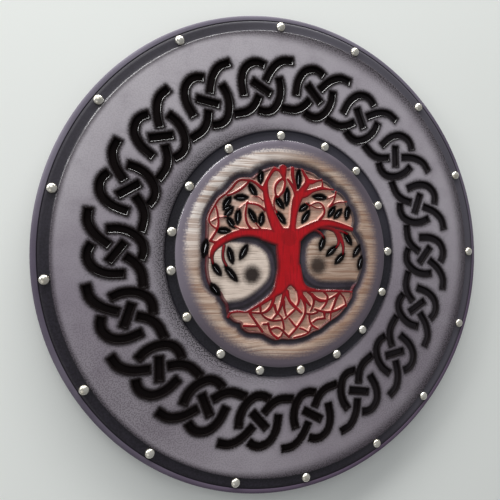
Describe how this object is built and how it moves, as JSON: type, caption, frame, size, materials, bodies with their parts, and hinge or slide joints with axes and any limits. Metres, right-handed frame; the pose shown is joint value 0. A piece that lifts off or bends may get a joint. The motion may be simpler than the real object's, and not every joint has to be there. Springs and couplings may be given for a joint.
{
  "type": "wooden round shield",
  "caption": "Flat round wooden shield with a carved ring of interlaced knots, a carved tree in a raised middle disc and two rings of domed nails.",
  "frame": {"origin": "centre of the flat back, on the surface that the shield lies on", "axes": "+Z out of the carved face, +Y towards the top of the carved tree, +X to the right as seen from the front"},
  "size_m": [0.5, 0.5, 0.0222],
  "materials": {
    "painted_wood": "carved softwood, airbrushed grey and black with a red tree, satin lacquer over bare grain in the middle",
    "nail_metal": "polished nickel plate"
  },
  "bodies": {
    "root": {"board": "painted_wood", "rim_nail_01": "nail_metal", "rim_nail_02": "nail_metal", "rim_nail_03": "nail_metal", "rim_nail_04": "nail_metal", "rim_nail_05": "nail_metal", "rim_nail_06": "nail_metal", "rim_nail_07": "nail_metal", "rim_nail_08": "nail_metal", "rim_nail_09": "nail_metal", "rim_nail_10": "nail_metal", "rim_nail_11": "nail_metal", "rim_nail_12": "nail_metal", "rim_nail_13": "nail_metal", "rim_nail_14": "nail_metal", "rim_nail_15": "nail_metal", "rim_nail_16": "nail_metal", "centre_nail_01": "nail_metal", "centre_nail_02": "nail_metal", "centre_nail_03": "nail_metal", "centre_nail_04": "nail_metal", "centre_nail_05": "nail_metal", "centre_nail_06": "nail_metal", "centre_nail_07": "nail_metal", "centre_nail_08": "nail_metal", "centre_nail_09": "nail_metal", "centre_nail_10": "nail_metal", "centre_nail_11": "nail_metal", "centre_nail_12": "nail_metal", "centre_nail_13": "nail_metal", "centre_nail_14": "nail_metal", "centre_nail_15": "nail_metal", "centre_nail_16": "nail_metal"}
  },
  "joints": []
}
